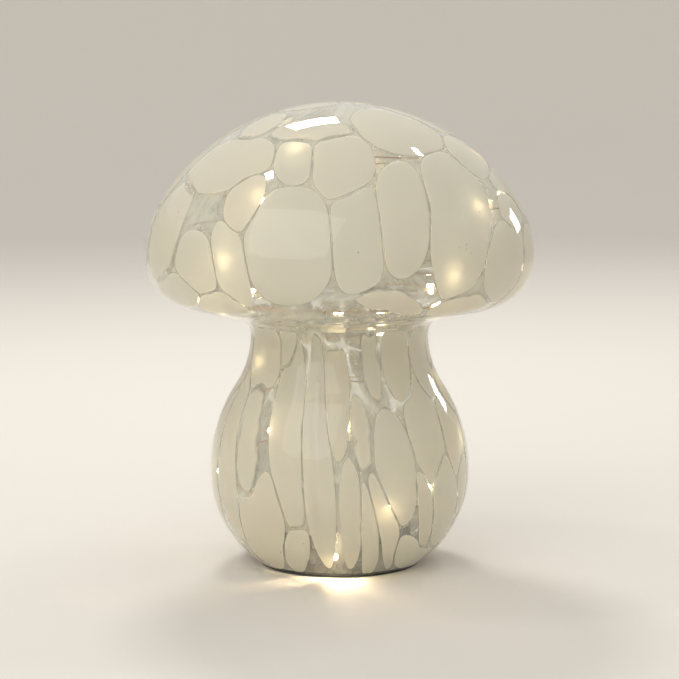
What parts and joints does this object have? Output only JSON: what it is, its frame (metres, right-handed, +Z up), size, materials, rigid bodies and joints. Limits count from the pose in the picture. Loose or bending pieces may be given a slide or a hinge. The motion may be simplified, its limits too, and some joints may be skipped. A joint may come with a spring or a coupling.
{
  "type": "mushroom table lamp",
  "caption": "Mushroom-shaped blown-glass table lamp, clear with white patches, lit from inside by a coil of tiny lights on a battery base with a hinged door and a slide switch.",
  "frame": {"origin": "centre of the ring of rubber pads that the lamp stands on, on the table", "axes": "+Z up through the crown of the cap; the front of the lamp faces -Y and +X is to its right, on the side of the switch"},
  "size_m": [0.18, 0.18, 0.215],
  "materials": {
    "blown_glass": "clear blown glass with soft white patches in it, glossy",
    "black_rubber": "soft matte rubber",
    "black_plastic": "moulded, fine matte grain",
    "white_plastic": "moulded, satin",
    "steel": "zinc plated",
    "cell_wrap": "plain printed sleeve over a steel can",
    "plated_contact": "nickel plated spring steel",
    "green_board": "solder-masked board",
    "red_sleeve": "thin vinyl sleeve",
    "black_sleeve": "thin vinyl sleeve",
    "lacquered_wire": "fine lacquered copper wire",
    "clear_resin": "clear cured drop",
    "warm_chip": "warm white, lit"
  },
  "bodies": {
    "lamp": {"glass_body": "blown_glass", "base_gasket": "black_rubber", "base_housing": "black_plastic", "inner_cover": "white_plastic", "wire_grommet": "black_rubber", "rubber_pad_1": "black_rubber", "rubber_pad_2": "black_rubber", "rubber_pad_3": "black_rubber", "rubber_pad_4": "black_rubber", "battery_right": "cell_wrap", "battery_middle": "cell_wrap", "battery_left": "cell_wrap", "plus_terminal": "plated_contact", "contact_bridge_back": "plated_contact", "contact_bridge_front": "plated_contact", "minus_terminal": "plated_contact", "battery_springs": "plated_contact", "timer_board": "green_board", "switch_case": "steel", "timer_chip": "black_plastic", "timer_crystal": "steel", "board_resistors": "black_plastic", "board_screws": "steel", "cover_screws": "steel", "red_lead": "red_sleeve", "black_lead": "black_sleeve", "light_wire": "lacquered_wire", "light_drops": "clear_resin", "light_chips": "warm_chip"},
    "battery_door": {"battery_door": "black_plastic"},
    "door_screw": {"door_screw": "steel"},
    "switch": {"switch_lever": "black_plastic", "switch_knob": "black_plastic"}
  },
  "joints": [
    {"name": "door_hinge", "type": "hinge", "parent": "lamp", "child": "battery_door", "pos_m": [0, -0.0289, 0.0018], "axis": [-1, 0, 0], "range_deg": [0, 95]},
    {"name": "door_screw_turn", "type": "hinge", "parent": "battery_door", "child": "door_screw", "pos_m": [0, 0.0292, 0], "axis": [0, 0, 1], "continuous": true},
    {"name": "switch_slide", "type": "slide", "parent": "lamp", "child": "switch", "axis": [0, 1, 0], "range_m": [-0.004, 0]}
  ]
}
